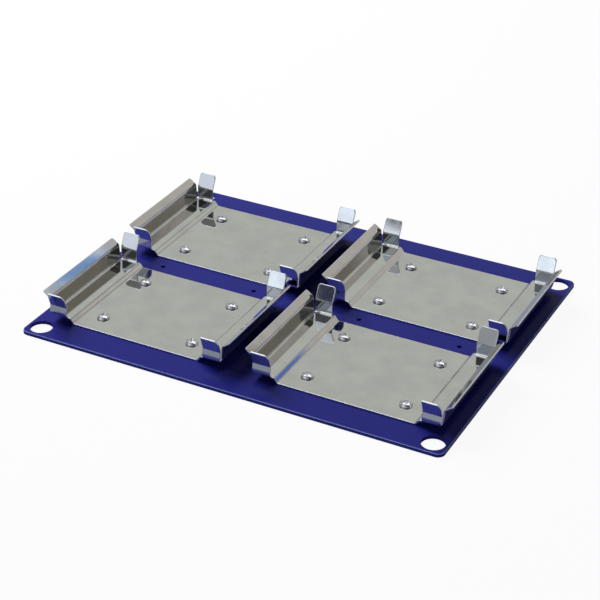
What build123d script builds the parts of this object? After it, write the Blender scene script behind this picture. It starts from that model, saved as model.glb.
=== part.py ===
from build123d import *
from math import atan2, degrees, radians, tan
import os

os.makedirs("parts", exist_ok=True)

# Shaker platform for four microplates: a painted plate, four folded steel holders and their screws.
# Millimetres. The origin is the middle of the plate's underside, +X along the plate's long side,
# +Y to the rear, +Z up.

# Base plate
plate_length = 303
plate_width = 236
plate_thickness = 2.5
plate_corner_radius = 5
plate_edge_round = 0.8
corner_hole_d = 15.3
corner_hole_inset_x = 10
corner_hole_inset_y = 10
spare_hole_d = 3.4
spare_hole_spacing = 72.6

# Places of the four holders on the plate
holder_pitch_x = 153.2
holder_pitch_y = 107

# Sheet and bends of a holder, with radii on the face towards the microplate
sheet = 1.0
foot_bend = 1.5
leaf_bend = 1.8
joggle_bend = 1.6
soft_bend = 2.4
bend_relief = 0.3
root_flat = 0.2

# Tray and the raised end shelves that carry the microplate, from the middle of the screws
tray_front = 42.5
tray_rear = 44.4
tray_half_length = 47.2
joggle_run = 2.7
joggle_rise = 3.4

# Side walls, measured on their inner faces
wall_foot = 64.4
wall_lean = 0.8
wall_height = 11.3
wall_front = 41.6
wall_rear = 42.7
lip_reach = 5.4
lip_rise = 4.1
lip_front_corner = 1.5
lip_rear_corner = 3.0

# Front flaps: sprung towards the microplate at the knuckle, flared out above it
flap_inner_edge = 52.1
flap_width = 12.8
flap_root = 43.0
flap_knuckle_in = 1.0
flap_knuckle_height = 7.5
flap_flare_out = 3.0
flap_flare_height = 9.2
flap_left_corner = 0.4
flap_right_corner = 4.0

# Rear tabs: the same fold with a finger that leans further back
tab_inner_edge = 51.8
tab_width = 12.7
tab_root = 44.0
tab_knuckle_in = 0.2
tab_knuckle_height = 8.8
tab_flare_out = 5.0
tab_flare_height = 10.0
tab_left_corner = 2.0
tab_right_corner = 2.8

# Pan head screws
screw_spacing_x = 68.5
screw_spacing_y = 53.2
screw_d = 4.0
screw_tip_lift = 0.2
head_d = 8.6
head_rim = 0.9
head_height = 2.7
thread_clearance = 0.05
tray_hole_clearance = 0.25

tray_top = sheet
shelf_top = tray_top + joggle_rise


def bend_setback(inner_radius, turn):
    # From the line where two faces would meet to the line where their bend begins.
    return inner_radius * tan(radians(turn / 2))


def lean_angle(sideways, upwards):
    return degrees(atan2(sideways, upwards))


wall_bend_start = wall_foot - bend_setback(foot_bend, 90 - lean_angle(wall_lean, wall_height))
flap_turn = 90 + lean_angle(flap_knuckle_in, flap_knuckle_height)
flap_line = flap_root - bend_setback(leaf_bend, flap_turn) - root_flat
tab_turn = 90 + lean_angle(tab_knuckle_in, tab_knuckle_height)
tab_line = tab_root - bend_setback(leaf_bend, tab_turn) - root_flat

# Base plate, with a hole in each corner, a spare pair between front and rear holders, and tapped holes
with BuildPart() as base_plate:
    with BuildSketch():
        RectangleRounded(plate_length, plate_width, plate_corner_radius)
    extrude(amount=plate_thickness)
    fillet(base_plate.faces().sort_by(Axis.Z)[-1].edges(), plate_edge_round)
    with GridLocations(plate_length - 2 * corner_hole_inset_x, plate_width - 2 * corner_hole_inset_y, 2, 2):
        Hole(corner_hole_d / 2)
    with GridLocations(holder_pitch_x, 0, 2, 1):
        with GridLocations(spare_hole_spacing, 0, 2, 1):
            Hole(spare_hole_d / 2)
    with GridLocations(holder_pitch_x, holder_pitch_y, 2, 2):
        with GridLocations(screw_spacing_x, screw_spacing_y, 2, 2):
            Hole(screw_d / 2 + thread_clearance)

base_plate.part.label = "base_plate"
export_step(base_plate.part, "parts/base_plate.step")


def upright(section, left_edge, width, corner_radii):
    # A strip folded up from the shelf's edge. Its section lies across the fold, and its front view
    # rounds the top corners, left one first.
    outer_side = Side.LEFT if section[0][0] < 0 else Side.RIGHT
    with BuildPart() as strip:
        with BuildSketch(Plane.YZ.offset(left_edge)):
            with BuildLine():
                FilletPolyline(*section, radius=[leaf_bend, soft_bend])
                offset(amount=sheet, side=outer_side, closed=True)
            make_face()
        extrude(amount=width)
        with BuildSketch(Plane.XZ) as front_view:
            with Locations((left_edge, 0)):
                Rectangle(width, section[-1][1], align=(Align.MIN, Align.MIN))
            fillet(front_view.vertices().sort_by(Axis.X)[:2].sort_by(Axis.Y)[-1], corner_radii[0])
            fillet(front_view.vertices().sort_by(Axis.X)[-2:].sort_by(Axis.Y)[-1], corner_radii[1])
        extrude(amount=plate_width, both=True, mode=Mode.INTERSECT)
    return strip.part


flap_section = [
    (-flap_line, shelf_top),
    (-flap_root, shelf_top),
    (-flap_root + flap_knuckle_in, shelf_top + flap_knuckle_height),
    (-flap_root + flap_knuckle_in - flap_flare_out, shelf_top + flap_knuckle_height + flap_flare_height),
]
tab_section = [
    (tab_line, shelf_top),
    (tab_root, shelf_top),
    (tab_root - tab_knuckle_in, shelf_top + tab_knuckle_height),
    (tab_root - tab_knuckle_in + tab_flare_out, shelf_top + tab_knuckle_height + tab_flare_height),
]
right_half = [
    (tray_half_length, tray_top),
    (tray_half_length + joggle_run, shelf_top),
    (wall_foot, shelf_top),
    (wall_foot + wall_lean, shelf_top + wall_height),
    (wall_foot + wall_lean + lip_reach, shelf_top + wall_height + lip_rise),
]
left_half = [(-along, height) for along, height in reversed(right_half)]
half_bends = [joggle_bend, joggle_bend, foot_bend, soft_bend]
lip_top = right_half[-1][1]
lip_edge = right_half[-1][0] + sheet
notch_edge = wall_foot - bend_relief
forwards = (Align.CENTER, Align.MAX)
backwards = (Align.CENTER, Align.MIN)

# One folded holder, standing on the plate's top face. The long section carries the tray, joggles,
# shelves, walls and lips, and the plan trims each stretch of it to its own width. Low down, a notch
# at each corner keeps the bends of the wall and the flap or tab apart.
flap_corners = (flap_left_corner, flap_right_corner)
tab_corners = (tab_left_corner, tab_right_corner)
uprights = [
    upright(flap_section, -flap_inner_edge - flap_width, flap_width, flap_corners),
    upright(flap_section, flap_inner_edge, flap_width, flap_corners),
    upright(tab_section, -tab_inner_edge - tab_width, tab_width, tab_corners),
    upright(tab_section, tab_inner_edge, tab_width, tab_corners),
]
with BuildPart() as holder:
    with BuildSketch(Plane.XZ):
        with BuildLine():
            FilletPolyline(*left_half, *right_half, radius=[*reversed(half_bends), *half_bends])
            offset(amount=sheet, side=Side.RIGHT, closed=True)
        make_face()
    extrude(amount=tray_front + tray_rear, both=True)
    with BuildSketch() as plan:
        Rectangle(2 * lip_edge, wall_front, align=forwards)
        Rectangle(2 * lip_edge, wall_rear, align=backwards)
        for end in (0, -1):
            fillet(plan.vertices().group_by(Axis.X)[end].sort_by(Axis.Y)[0], lip_front_corner)
            fillet(plan.vertices().group_by(Axis.X)[end].sort_by(Axis.Y)[-1], lip_rear_corner)
        Rectangle(2 * notch_edge, 2 * (wall_front + wall_rear), mode=Mode.SUBTRACT)
        Rectangle(2 * notch_edge, flap_line - bend_relief, align=forwards)
        Rectangle(2 * notch_edge, tab_line - bend_relief, align=backwards)
        Rectangle(2 * wall_bend_start, flap_line, align=forwards)
        Rectangle(2 * wall_bend_start, tab_line, align=backwards)
        Rectangle(2 * (flap_inner_edge - bend_relief), tray_front, align=forwards)
        Rectangle(2 * (tab_inner_edge - bend_relief), tray_rear, align=backwards)
    extrude(amount=lip_top, mode=Mode.INTERSECT)
    add(uprights)
    with BuildSketch():
        for side, outwards in ((-1, Align.MAX), (1, Align.MIN)):
            with Locations((side * notch_edge, bend_relief - flap_line)):
                Rectangle(lip_edge, tray_front, align=(outwards, Align.MAX))
            with Locations((side * notch_edge, tab_line - bend_relief)):
                Rectangle(lip_edge, tray_rear, align=(outwards, Align.MIN))
    extrude(amount=shelf_top + leaf_bend, mode=Mode.SUBTRACT)
    with GridLocations(screw_spacing_x, screw_spacing_y, 2, 2):
        Hole(screw_d / 2 + tray_hole_clearance)

for row, y in (("front", -holder_pitch_y / 2), ("rear", holder_pitch_y / 2)):
    for side, x in (("left", -holder_pitch_x / 2), ("right", holder_pitch_x / 2)):
        with BuildPart() as placed_holder:
            with Locations((x, y, plate_thickness)):
                add(holder.part)
        placed_holder.part.label = f"holder_{row}_{side}"
        export_step(placed_holder.part, f"parts/holder_{row}_{side}.step")

# Pan head screw, drawn from the same top face; its tip stays inside the plate
screw_tip = screw_tip_lift - plate_thickness
head_top = tray_top + head_height
with BuildPart() as screw:
    with BuildSketch(Plane.XZ):
        with BuildLine():
            Polyline(
                (0, head_top),
                (0, screw_tip),
                (screw_d / 2, screw_tip),
                (screw_d / 2, tray_top),
                (head_d / 2, tray_top),
                (head_d / 2, tray_top + head_rim),
            )
            TangentArc((0, head_top), (head_d / 2, tray_top + head_rim), tangent=(1, 0))
        make_face()
    revolve(axis=Axis.Z)

with BuildPart() as holder_screws:
    with Locations((0, 0, plate_thickness)):
        with GridLocations(holder_pitch_x, holder_pitch_y, 2, 2):
            with GridLocations(screw_spacing_x, screw_spacing_y, 2, 2):
                add(screw.part)

holder_screws.part.label = "holder_screws"
export_step(holder_screws.part, "parts/holder_screws.step")
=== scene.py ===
import math

import bpy
import numpy as np
from mathutils import Matrix, Vector


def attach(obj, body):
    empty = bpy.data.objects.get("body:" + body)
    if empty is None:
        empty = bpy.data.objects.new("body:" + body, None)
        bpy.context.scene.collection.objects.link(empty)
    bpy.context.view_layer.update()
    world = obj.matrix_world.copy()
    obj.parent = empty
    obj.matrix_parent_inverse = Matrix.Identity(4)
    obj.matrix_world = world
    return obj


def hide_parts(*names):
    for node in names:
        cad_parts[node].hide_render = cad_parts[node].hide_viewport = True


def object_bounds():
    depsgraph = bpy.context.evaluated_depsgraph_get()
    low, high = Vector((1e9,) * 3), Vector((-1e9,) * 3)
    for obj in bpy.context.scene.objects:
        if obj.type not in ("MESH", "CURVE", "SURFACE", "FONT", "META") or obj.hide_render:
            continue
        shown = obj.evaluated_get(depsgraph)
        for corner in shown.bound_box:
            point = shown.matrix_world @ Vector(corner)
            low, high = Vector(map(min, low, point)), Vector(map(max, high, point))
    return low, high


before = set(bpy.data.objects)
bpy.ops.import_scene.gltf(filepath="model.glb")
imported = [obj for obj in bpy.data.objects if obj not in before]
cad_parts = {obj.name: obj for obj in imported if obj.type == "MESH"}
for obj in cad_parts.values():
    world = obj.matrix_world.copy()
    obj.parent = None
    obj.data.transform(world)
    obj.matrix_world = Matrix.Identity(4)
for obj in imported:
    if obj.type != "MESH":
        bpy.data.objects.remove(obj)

# Shaker platform for four microplates. Metres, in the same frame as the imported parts:
# +X along the plate's long side, +Y to the rear, +Z up, the floor at zero.

scene = bpy.context.scene
scene.view_settings.view_transform = "Standard"
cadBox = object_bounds()
mm = 0.001
print("frame loaded with", len(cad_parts), "parts")

camera = {
    "azimuth": 27.05,       # degrees round the platform from the front, towards its right end
    "elevation": 30.38,     # degrees above the floor
    "roll": 0.593,          # degrees
    "place": (0.45535, -0.90025, 0.59794),
    "lens": 103.49,         # millimetres, as the sensor's width is
    "sensor": 36,
    "nearest": 0.01,
    "farthest": 50,
}


def addCamera(values):
    # Looks along the direction that the two angles give, then rolls about that direction.
    azimuth, elevation, roll = (math.radians(values[k]) for k in ("azimuth", "elevation", "roll"))
    level = Vector((math.cos(azimuth), math.sin(azimuth), 0))
    ahead = Vector((
        -math.sin(azimuth) * math.cos(elevation),
        math.cos(azimuth) * math.cos(elevation),
        -math.sin(elevation),
    ))
    upright = level.cross(ahead)
    right = level * math.cos(roll) + upright * math.sin(roll)
    up = upright * math.cos(roll) - level * math.sin(roll)
    lensData = bpy.data.cameras.new("photoLens")
    lensData.sensor_width = values["sensor"]
    lensData.lens = values["lens"]
    lensData.clip_start = values["nearest"]
    lensData.clip_end = values["farthest"]
    eye = bpy.data.objects.new("photoCamera", lensData)
    eye.matrix_world = Matrix((right, up, -ahead)).transposed().to_4x4()
    eye.location = values["place"]
    scene.collection.objects.link(eye)
    scene.camera = eye


addCamera(camera)
print("camera placed")


# Small helpers for shader trees

def newTree(name):
    material = bpy.data.materials.new(name)
    material.use_nodes = True
    tree = material.node_tree
    return material, tree, tree.nodes["Principled BSDF"]


def addNode(tree, kind, settings=None, **sockets):
    # settings are the node's own properties; sockets are input names with spaces as underscores
    node = tree.nodes.new(kind)
    for key, value in (settings or {}).items():
        setattr(node, key, value)
    for key, value in sockets.items():
        target = node.inputs[key.replace("_", " ")]
        if isinstance(value, bpy.types.NodeSocket):
            tree.links.new(value, target)
        else:
            target.default_value = value
    return node


def maths(tree, operation, *values, clamp=False):
    node = tree.nodes.new("ShaderNodeMath")
    node.operation = operation
    node.use_clamp = clamp
    for socket, value in zip(node.inputs, values):
        if isinstance(value, bpy.types.NodeSocket):
            tree.links.new(value, socket)
        else:
            socket.default_value = value
    return node.outputs[0]


def mixColours(tree, factor, first, second):
    node = tree.nodes.new("ShaderNodeMix")
    node.data_type = "RGBA"
    for socket, value in zip((node.inputs[0], node.inputs[6], node.inputs[7]), (factor, first, second)):
        if isinstance(value, bpy.types.NodeSocket):
            tree.links.new(value, socket)
        else:
            socket.default_value = value
    return node.outputs[2]


def between(tree, value, ends, blur):
    # 1 between the two ends and 0 outside, with soft steps of the given width at both ends
    rise = addNode(tree, "ShaderNodeMapRange", {"interpolation_type": "SMOOTHSTEP"}, Value=value,
                   From_Min=ends[0] - blur / 2, From_Max=ends[0] + blur / 2)
    fall = addNode(tree, "ShaderNodeMapRange", {"interpolation_type": "SMOOTHSTEP"}, Value=value,
                   From_Min=ends[1] + blur / 2, From_Max=ends[1] - blur / 2)
    return maths(tree, "MULTIPLY", rise.outputs[0], fall.outputs[0])


def dullness(tree, patches, ends, roughness):
    # The roughness goes from its first to its second value as the patches go from end to end
    node = addNode(tree, "ShaderNodeMapRange", Value=patches, From_Min=ends[0], From_Max=ends[1],
                   To_Min=roughness[0], To_Max=roughness[1])
    return node.outputs[0]


def polishedRay(tree, path):
    # 1 for a ray that polished metal or glass sends out, 0 for every other
    glossy, transmitted = path.outputs["Is Glossy Ray"], path.outputs["Is Transmission Ray"]
    return maths(tree, "ADD", glossy, transmitted, clamp=True)


def buildHandlingMarks():
    # Soft cloudy patches left by polishing and handling, and the height of a sheet's gentle waves.
    # Each material gives its own patch size and wave length.
    group = bpy.data.node_groups.new("handlingMarks", "ShaderNodeTree")
    for name in ("Patch size", "Wave length"):
        group.interface.new_socket(name, in_out="INPUT", socket_type="NodeSocketFloat")
    for name in ("Patches", "Waves"):
        group.interface.new_socket(name, in_out="OUTPUT", socket_type="NodeSocketFloat")
    inside = group.nodes.new("NodeGroupInput")
    outside = group.nodes.new("NodeGroupOutput")
    place = group.nodes.new("ShaderNodeTexCoord").outputs["Object"]
    patchScale = maths(group, "DIVIDE", 1.0, inside.outputs["Patch size"])
    patches = addNode(group, "ShaderNodeTexNoise", Vector=place, Scale=patchScale, Detail=4.0,
                      Roughness=0.62)
    waveScale = maths(group, "DIVIDE", 1.0, inside.outputs["Wave length"])
    waves = addNode(group, "ShaderNodeTexNoise", Vector=place, Scale=waveScale, Detail=0.6, Roughness=0.4)
    group.links.new(patches.outputs["Fac"], outside.inputs["Patches"])
    group.links.new(waves.outputs["Fac"], outside.inputs["Waves"])
    return group


handlingMarks = buildHandlingMarks()

# Polished steel of the folded holders
holderSteel = {
    "clean": (0.635, 0.64, 0.61, 1),
    "smudged": (0.57, 0.575, 0.55, 1),
    "smudgeRange": (0.35, 0.65),    # of the patches, from clean to smudged
    "roughness": (0.03, 0.08),
    "dullRange": (0.35, 0.70),      # of the patches, from the lower to the higher roughness
    "patchSize": 16 * mm,
    "waveLength": 70 * mm,
    "waveHeight": 0.03 * mm,
    # painted highlight colour of the rounded cut edges
    "rim": (0.92, 0.93, 0.95, 1),
    "rimRound": 0.7 * mm,
    "rimLean": (0.99, 0.90),        # cosine of the rounded normal's lean where the painted rim highlight begins and is full
}


def makeHolderSteel(values):
    material, tree, shader = newTree("polishedHolderSteel")
    marks = addNode(tree, "ShaderNodeGroup", {"node_tree": handlingMarks},
                    Patch_size=values["patchSize"], Wave_length=values["waveLength"])
    shade = addNode(tree, "ShaderNodeMapRange", Value=marks.outputs["Patches"],
                    From_Min=values["smudgeRange"][0], From_Max=values["smudgeRange"][1])
    colour = mixColours(tree, shade.outputs[0], values["clean"], values["smudged"])
    dull = dullness(tree, marks.outputs["Patches"], values["dullRange"], values["roughness"])
    rim = addNode(tree, "ShaderNodeBevel", {"samples": 6}, Radius=values["rimRound"])
    bump = addNode(tree, "ShaderNodeBump", Height=marks.outputs["Waves"], Normal=rim.outputs[0],
                   Distance=values["waveHeight"], Strength=1.0)
    # Painted highlight on the cut edges: where the rounded normal leans away from the flat one, the
    # colour goes to the bright rim colour
    flat = tree.nodes.new("ShaderNodeNewGeometry").outputs["Normal"]
    lean = addNode(tree, "ShaderNodeVectorMath", {"operation": "DOT_PRODUCT"})
    tree.links.new(rim.outputs[0], lean.inputs[0])
    tree.links.new(flat, lean.inputs[1])
    paintedRimHighlight = addNode(tree, "ShaderNodeMapRange", Value=lean.outputs["Value"],
                     From_Min=values["rimLean"][0], From_Max=values["rimLean"][1])
    colour = mixColours(tree, paintedRimHighlight.outputs[0], colour, values["rim"])
    tree.links.new(colour, shader.inputs["Base Color"])
    tree.links.new(dull, shader.inputs["Roughness"])
    tree.links.new(bump.outputs[0], shader.inputs["Normal"])
    shader.inputs["Metallic"].default_value = 1.0
    return material


# Glossy blue paint of the plate
platePaint = {
    "deep": (0.0165, 0.0178, 0.207, 1),
    "light": (0.020, 0.0213, 0.231, 1),
    # painted highlight colour of the rounded upper edge
    "edgeGlint": (0.24, 0.30, 0.74, 1),
    "edgeRange": (0.45, 0.93),            # of the normal's upward part, on the rounded upper edge
    "edgeBlur": 0.16,
    "inMetal": (0.055, 0.062, 0.40, 1),   # painted reflection: a brighter copy of the plate's blue that polished metal shows
    "roughness": (0.22, 0.30),
    "dullRange": (0.30, 0.70),            # of the patches, from the lower to the higher roughness
    "specular": 0.075,
    "patchSize": 30 * mm,
    "waveLength": 50 * mm,
    "peelSize": 1.2 * mm,
    "peelHeight": 0.004 * mm,
}


def makePlatePaint(values):
    material, tree, shader = newTree("blueEnamel")
    marks = addNode(tree, "ShaderNodeGroup", {"node_tree": handlingMarks},
                    Patch_size=values["patchSize"], Wave_length=values["waveLength"])
    colour = mixColours(tree, marks.outputs["Patches"], values["deep"], values["light"])
    dull = dullness(tree, marks.outputs["Patches"], values["dullRange"], values["roughness"])
    coordinates = tree.nodes.new("ShaderNodeTexCoord")
    place = coordinates.outputs["Object"]
    # Painted highlight on the rounded upper edge: a paler blue where the normal leans between up and
    # level
    upwards = addNode(tree, "ShaderNodeSeparateXYZ", Vector=coordinates.outputs["Normal"]).outputs["Z"]
    edge = between(tree, upwards, values["edgeRange"], values["edgeBlur"])
    colour = mixColours(tree, edge, colour, values["edgeGlint"])
    # Polished metal sees the painted, brighter reflection blue instead of the plate's own colour
    mirrored = tree.nodes.new("ShaderNodeLightPath").outputs["Is Glossy Ray"]
    colour = mixColours(tree, mirrored, colour, values["inMetal"])
    peel = addNode(tree, "ShaderNodeTexNoise", Vector=place, Scale=1 / values["peelSize"], Detail=1.0)
    bump = addNode(tree, "ShaderNodeBump", Height=peel.outputs["Fac"], Distance=values["peelHeight"],
                   Strength=1.0)
    tree.links.new(colour, shader.inputs["Base Color"])
    tree.links.new(dull, shader.inputs["Roughness"])
    tree.links.new(bump.outputs[0], shader.inputs["Normal"])
    shader.inputs["Specular IOR Level"].default_value = values["specular"]
    return material


# Bright steel of the screws
screwSteel = {
    "bare": (0.66, 0.66, 0.67, 1),
    "worn": (0.52, 0.52, 0.53, 1),
    "roughness": (0.10, 0.20),
    "dullRange": (0.30, 0.70),      # of the patches, from the lower to the higher roughness
    "patchSize": 1.5 * mm,
    "waveLength": 4 * mm,
}


def makeScrewSteel(values):
    material, tree, shader = newTree("brightScrewSteel")
    marks = addNode(tree, "ShaderNodeGroup", {"node_tree": handlingMarks},
                    Patch_size=values["patchSize"], Wave_length=values["waveLength"])
    colour = mixColours(tree, marks.outputs["Patches"], values["bare"], values["worn"])
    dull = dullness(tree, marks.outputs["Patches"], values["dullRange"], values["roughness"])
    tree.links.new(colour, shader.inputs["Base Color"])
    tree.links.new(dull, shader.inputs["Roughness"])
    shader.inputs["Metallic"].default_value = 1.0
    return material


steel = makeHolderSteel(holderSteel)
paint = makePlatePaint(platePaint)
screwFinish = makeScrewSteel(screwSteel)


def dress(node, material):
    for index in range(len(node.material_slots)):
        node.material_slots[index].material = material


dress(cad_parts["base_plate"], paint)
holderNames = [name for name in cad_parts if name.startswith("holder_") and name != "holder_screws"]
for name in holderNames:
    dress(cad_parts[name], steel)
print("plate and", len(holderNames), "holders dressed")


def surfaceMesh(name, grids, material):
    # grids has shape (pieces, rows, steps, 3): rows run from a bottom pole to a top pole, steps go
    # round. Each pole row is one vertex, so every piece is a closed surface.
    pieces, rows, steps, _ = grids.shape
    body = grids[:, 1:-1].reshape(pieces, -1, 3)
    poles = grids[:, [0, -1], 0]
    vertices = np.concatenate([body, poles], axis=1)
    perPiece = vertices.shape[1]
    row = np.arange(rows - 3)[:, None] * steps
    step = np.arange(steps)
    after = (step + 1) % steps
    quads = np.stack([row + step, row + after, row + steps + after, row + steps + step], axis=-1)
    quads = quads.reshape(-1, 4)
    last = (rows - 3) * steps
    bottom = np.stack([np.full(steps, perPiece - 2), after, step], axis=-1)
    top = np.stack([last + step, last + after, np.full(steps, perPiece - 1)], axis=-1)
    mesh = bpy.data.meshes.new(name)
    shift = (np.arange(pieces) * perPiece)[:, None, None]
    faces = [(block + shift).reshape(-1, block.shape[1]).tolist() for block in (quads, bottom, top)]
    mesh.from_pydata(vertices.reshape(-1, 3), [], sum(faces, []))
    mesh.polygons.foreach_set("use_smooth", np.ones(len(mesh.polygons), bool))
    mesh.validate()
    piece = bpy.data.objects.new(name, mesh)
    piece.data.materials.append(material)
    scene.collection.objects.link(piece)
    return piece


screws = {
    "headRadius": 4.3 * mm,
    "rimHeight": 0.9 * mm,
    "headHeight": 2.7 * mm,
    "rimRound": 0.25 * mm,
    "shankRadius": 2.0 * mm,
    "tipChamfer": 0.4 * mm,
    "recessReach": 2.3 * mm,       # from the middle to the end of an arm of the cross
    "recessHalfWidth": 0.62 * mm,  # of an arm
    "recessSlope": 0.35 * mm,      # how wide the sloped walls beside an arm are
    "recessEndSlope": 1.05 * mm,   # and at its end
    "recessDepth": 1.1 * mm,
    "domeStart": 0.94,             # the dome's first ring, as a share of the head's radius
    "domeRings": 26,
    "steps": 88,                   # points round the axis
    "turnBetween": 137.5,          # degrees from one screw's cross to the next one's
}


def smoothStep(value):
    value = np.clip(value, 0, 1)
    return value * value * (3 - 2 * value)


def addScrews(values):
    # A profile from the tip's middle up the shank, under the head and over its dome is carried round
    # the axis. The dome's height is the cap of a sphere through the rim and the top; the recess
    # lowers it inside a cross with sloped walls. The screws stand where the CAD heads' tops are.
    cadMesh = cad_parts["holder_screws"].data
    corners = np.empty(len(cadMesh.vertices) * 3)
    cadMesh.vertices.foreach_get("co", corners)
    corners = corners.reshape(-1, 3)
    tip, top = corners[:, 2].min(), corners[:, 2].max()
    onTop = corners[:, 2] > top - 0.001 * mm
    apexes = np.unique(np.round(corners[onTop][:, :2], 5), axis=0)   # to a hundredth of a millimetre
    seat = top - values["headHeight"]
    radius, rim = values["headRadius"], values["rimHeight"]
    rise = values["headHeight"] - rim
    ball = (radius ** 2 + rise ** 2) / (2 * rise)

    def dome(across):
        return top - ball + np.sqrt(ball ** 2 - across ** 2)

    edge = values["rimRound"]
    chamfer = values["tipChamfer"]
    shank = values["shankRadius"]
    # From the tip's middle up the shank and round the underside of the head to its rim
    foot = np.array([
        (0, tip),
        (shank - chamfer, tip),
        (shank, tip + chamfer),
        (shank, seat),
        (radius - edge, seat),
        (radius, seat + edge),
        (radius, seat + rim - edge),
    ])
    across = radius * np.linspace(values["domeStart"], 0, values["domeRings"])
    profile = np.concatenate([foot, np.stack([across, dome(across)], -1)])
    angles = np.linspace(0, 2 * math.pi, values["steps"], endpoint=False)
    x = profile[:, :1] * np.cos(angles)
    y = profile[:, :1] * np.sin(angles)
    along = np.maximum(np.abs(x), np.abs(y))
    aside = np.minimum(np.abs(x), np.abs(y))
    slope = values["recessSlope"]
    inArm = smoothStep((values["recessHalfWidth"] + slope / 2 - aside) / slope)
    inReach = smoothStep((values["recessReach"] - along) / values["recessEndSlope"])
    onDome = (np.arange(len(profile)) >= len(foot))[:, None]
    z = profile[:, 1:] - values["recessDepth"] * inArm * inReach * onDome
    turns = np.radians(values["turnBetween"] * np.arange(len(apexes)))[:, None, None]
    grids = np.stack([
        apexes[:, 0, None, None] + x * np.cos(turns) - y * np.sin(turns),
        apexes[:, 1, None, None] + x * np.sin(turns) + y * np.cos(turns),
        np.broadcast_to(z, (len(apexes),) + z.shape),
    ], axis=-1)
    piece = surfaceMesh("panHeadScrews", grids, screwFinish)
    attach(piece, "root")
    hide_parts("holder_screws")
    print(len(apexes), "screws made")


addScrews(screws)

studio = {
    "floorSize": 8.0,
    "floorDrop": 0.2 * mm,         # keeps the floor clear of the plate's underside
    "floorColour": (0.86, 0.86, 0.87, 1),
    "floorGlow": 0.93,             # how far the floor goes to plain white for eyes
    "floorInMetal": (0.34, 0.37, 0.46, 1),
    "belowPlateInMetal": (0.03, 0.035, 0.20, 1),
    "belowPlateBlur": 2 * mm,
    "lampDistance": 1.8,
    "lampSize": 1.1,
    "keyDirection": (-68.0, 40.0),  # degrees: azimuth from the rear towards the right, and height
    "keyPower": 41.0,
    "sideDirection": (158.0, 14.0),
    "sidePower": 6.0,
    "fill": 0.05,                  # the world's light on everything that is not polished
    "room": (0.40, 0.41, 0.44, 1),
}

# What polished metal sees of the room: azimuths and heights from and to, in degrees, the width of
# the soft edge and the colour. Azimuth runs from the rear (0) past the right end (90) and the front
# (180) to the left end (270 or -90). Later panels lie over earlier ones.
roomPanels = {
    "rearWall": ((-75, 20), (-8, 60), 8, (0.62, 0.63, 0.61, 1)),
    "rearRightWall": ((17, 62), (2, 60), 4, (0.60, 0.565, 0.55, 1)),
    "paleWall": ((33.5, 47), (16.5, 21.6), 1.5, (0.62, 0.63, 0.61, 1)),
    "doorway": ((28.4, 60), (22.3, 36.5), 0.8, (0.29, 0.265, 0.235, 1)),
    "rightSide": ((62, 132), (-10, 80), 8, (0.10, 0.10, 0.10, 1)),
    "leftSide": ((225, 268), (40, 72), 3, (0.26, 0.26, 0.28, 1)),
    "leftHighPane": ((246, 276), (65.4, 72), 1, (0.62, 0.64, 0.75, 1)),
    "leftHighLamp": ((260.5, 276), (65.4, 72), 1.5, (0.98, 1.04, 1.28, 1)),
    "leftGlow": ((224, 251), (45, 61), 3, (1.3, 1.4, 1.6, 1)),
    "rearSkirting": ((-72, -30), (-4, 12), 3, (0.34, 0.37, 0.42, 1)),
    "ceiling": ((-88, 62), (50, 84), 3, (1.9, 1.95, 2.1, 1)),
    "frontShade": ((138, 197), (31.6, 42), 0.8, (0.14, 0.145, 0.17, 1)),
    "windowLeft": ((156.5, 162), (32.6, 40), 0.8, (0.62, 0.74, 1.0, 1)),
    "frontSoftbox": ((192, 226), (44, 64), 4, (1.7, 1.8, 1.95, 1)),
    "frontPanel": ((184, 220), (6, 24), 1, (0.93, 1.0, 1.2, 1)),
    "frontGlow": ((203.6, 207.4), (16, 23.6), 0.5, (1.25, 1.36, 1.62, 1)),
    "frontGlowRight": ((194.5, 197.6), (21, 23.6), 0.5, (1.35, 1.5, 1.75, 1)),
    "frontPanelLeft": ((165, 184.5), (6, 24.5), 1, (0.85, 0.88, 0.95, 1)),
    "frontBeam": ((132, 214.5), (24.2, 31.6), 1, (0.06, 0.06, 0.08, 1)),
    "frontBeamGap": ((167, 192), (24, 29.5), 0.8, (0.80, 0.82, 0.90, 1)),
    "frontBeamPatch": ((202.3, 204.4), (25, 27.6), 0.4, (0.58, 0.60, 0.66, 1)),
    "frontBeamStart": ((195, 200.5), (24.5, 28.5), 0.6, (0.26, 0.27, 0.30, 1)),
    "frontBeamEnd": ((211.3, 215), (25.3, 28.6), 0.5, (0.52, 0.58, 0.68, 1)),
    "windowFoot": ((163, 167.5), (30.4, 33.4), 0.4, (1.3, 1.4, 1.6, 1)),
    "windowMiddle": ((197, 204), (30.8, 40), 0.6, (0.42, 0.48, 0.62, 1)),
    "windowRight": ((204.2, 215), (29.6, 37), 0.5, (0.86, 0.90, 1.10, 1)),
    "frontGap": ((200.4, 204.5), (0, 20.1), 0.4, (0.04, 0.05, 0.09, 1)),
    "frontGapTop": ((200.4, 203.1), (21.5, 24.6), 0.1, (0.03, 0.03, 0.05, 1)),
    "frontGlowMiddle": ((200.6, 203.5), (20.4, 21.5), 0.1, (1.5, 1.6, 1.8, 1)),
    "frontScreen": ((195, 200.2), (0, 20.6), 0.5, (0.40, 0.42, 0.47, 1)),
    "bluePane": ((38.7, 43), (12.5, 17.5), 0.3, (0.12, 0.22, 0.62, 1)),
    "paleSkylight": ((24.2, 26.0), (37.1, 39.6), 0.3, (0.75, 0.85, 1.0, 1)),
    "blueSkylight": ((24.6, 25.6), (37.4, 39.2), 0.2, (0.02, 0.29, 0.90, 1)),
}


def direction(azimuth, height):
    azimuth, height = math.radians(azimuth), math.radians(height)
    return Vector((
        math.sin(azimuth) * math.cos(height),
        math.cos(azimuth) * math.cos(height),
        math.sin(height),
    ))


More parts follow.
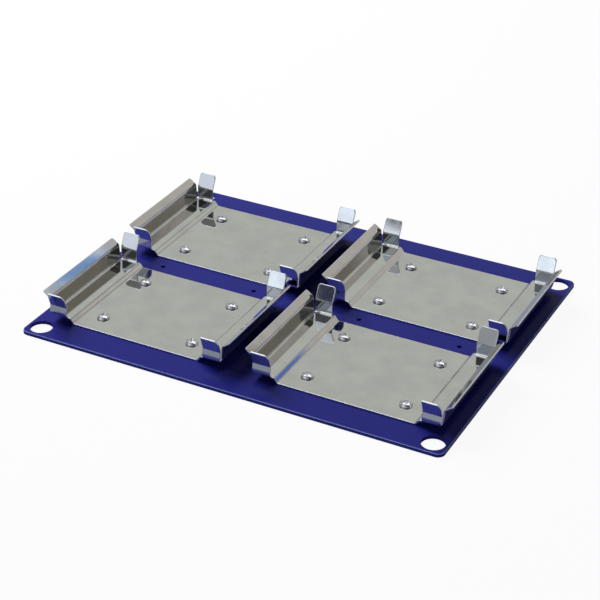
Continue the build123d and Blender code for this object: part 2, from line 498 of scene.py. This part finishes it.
def addFloor(values):
    # Nearly white for eyes, with the object's shadow, and plain grey for polished metal, but dark blue
    # where the plate lies over it.
    half = values["floorSize"] / 2
    level = -values["floorDrop"]
    mesh = bpy.data.meshes.new("studioFloor")
    corners = [(-half, -half, level), (half, -half, level), (half, half, level), (-half, half, level)]
    mesh.from_pydata(corners, [], [(0, 1, 2, 3)])
    floor = bpy.data.objects.new("studioFloor", mesh)
    scene.collection.objects.link(floor)
    material, tree, shader = newTree("paleFloor")
    shader.inputs["Base Color"].default_value = values["floorColour"]
    shader.inputs["Roughness"].default_value = 1.0
    shader.inputs["Specular IOR Level"].default_value = 0.0
    path = tree.nodes.new("ShaderNodeLightPath")
    white = addNode(tree, "ShaderNodeEmission", Color=(1, 1, 1, 1), Strength=1.0)
    place = tree.nodes.new("ShaderNodeTexCoord").outputs["Object"]
    axes = addNode(tree, "ShaderNodeSeparateXYZ", Vector=place)
    (left, front, _), (right, rear, _) = cadBox
    blur = values["belowPlateBlur"]
    below = maths(tree, "MULTIPLY", between(tree, axes.outputs["X"], (left, right), blur),
                  between(tree, axes.outputs["Y"], (front, rear), blur))
    mirrored = mixColours(tree, below, values["floorInMetal"], values["belowPlateInMetal"])
    inMetal = addNode(tree, "ShaderNodeEmission", Color=mirrored, Strength=1.0)
    glow = maths(tree, "MULTIPLY", path.outputs["Is Camera Ray"], values["floorGlow"])
    forEyes = addNode(tree, "ShaderNodeMixShader")
    tree.links.new(glow, forEyes.inputs[0])
    tree.links.new(shader.outputs[0], forEyes.inputs[1])
    tree.links.new(white.outputs[0], forEyes.inputs[2])
    forMetal = addNode(tree, "ShaderNodeMixShader")
    tree.links.new(polishedRay(tree, path), forMetal.inputs[0])
    tree.links.new(forEyes.outputs[0], forMetal.inputs[1])
    tree.links.new(inMetal.outputs[0], forMetal.inputs[2])
    tree.links.new(forMetal.outputs[0], tree.nodes["Material Output"].inputs["Surface"])
    floor.data.materials.append(material)


def addLamp(name, aim, power, values):
    # A square panel that stands out from the middle of the platform along its aim and faces back.
    lamp = bpy.data.lights.new(name, "AREA")
    lamp.shape = "SQUARE"
    lamp.size = values["lampSize"]
    lamp.energy = power
    towards = direction(*aim)
    panel = bpy.data.objects.new(name, lamp)
    panel.rotation_mode = "QUATERNION"
    panel.rotation_quaternion = towards.to_track_quat("Z", "Y")
    panel.location = towards * values["lampDistance"]
    panel.visible_glossy = False   # polished metal sees the room's panels instead
    scene.collection.objects.link(panel)


def addWorld(values, panels):
    # White for eyes, the room's panels for polished metal, and a weak even fill for everything else.
    world = bpy.data.worlds.new("studioRoom")
    scene.world = world
    world.use_nodes = True
    tree = world.node_tree
    tree.nodes.clear()
    view = tree.nodes.new("ShaderNodeTexCoord").outputs["Generated"]
    axes = addNode(tree, "ShaderNodeSeparateXYZ", Vector=view)
    azimuth = maths(tree, "ARCTAN2", axes.outputs["X"], axes.outputs["Y"])
    azimuth = maths(tree, "WRAP", maths(tree, "DEGREES", azimuth), 270.0, -90.0)   # from -90 to 270
    height = maths(tree, "DEGREES", maths(tree, "ARCSINE", axes.outputs["Z"]))
    room = values["room"]
    for azimuths, heights, blur, colour in panels.values():
        mask = maths(tree, "MULTIPLY", between(tree, azimuth, azimuths, blur),
                     between(tree, height, heights, blur))
        room = mixColours(tree, mask, room, colour)
    path = tree.nodes.new("ShaderNodeLightPath")
    direct = maths(tree, "SUBTRACT", 1.0, path.outputs["Diffuse Depth"], clamp=True)
    polished = maths(tree, "MULTIPLY", polishedRay(tree, path), direct)
    white = addNode(tree, "ShaderNodeBackground", Color=(1, 1, 1, 1), Strength=1.0)
    walls = addNode(tree, "ShaderNodeBackground", Color=room, Strength=1.0)
    fill = addNode(tree, "ShaderNodeBackground", Color=(1, 1, 1, 1), Strength=values["fill"])
    shown = addNode(tree, "ShaderNodeMixShader")
    tree.links.new(polished, shown.inputs[0])
    tree.links.new(fill.outputs[0], shown.inputs[1])
    tree.links.new(walls.outputs[0], shown.inputs[2])
    blend = addNode(tree, "ShaderNodeMixShader")
    tree.links.new(path.outputs["Is Camera Ray"], blend.inputs[0])
    tree.links.new(shown.outputs[0], blend.inputs[1])
    tree.links.new(white.outputs[0], blend.inputs[2])
    end = tree.nodes.new("ShaderNodeOutputWorld")
    tree.links.new(blend.outputs[0], end.inputs["Surface"])


addFloor(studio)
addLamp("keyPanel", studio["keyDirection"], studio["keyPower"], studio)
addLamp("sidePanel", studio["sideDirection"], studio["sidePower"], studio)
addWorld(studio, roomPanels)
print("studio lit")
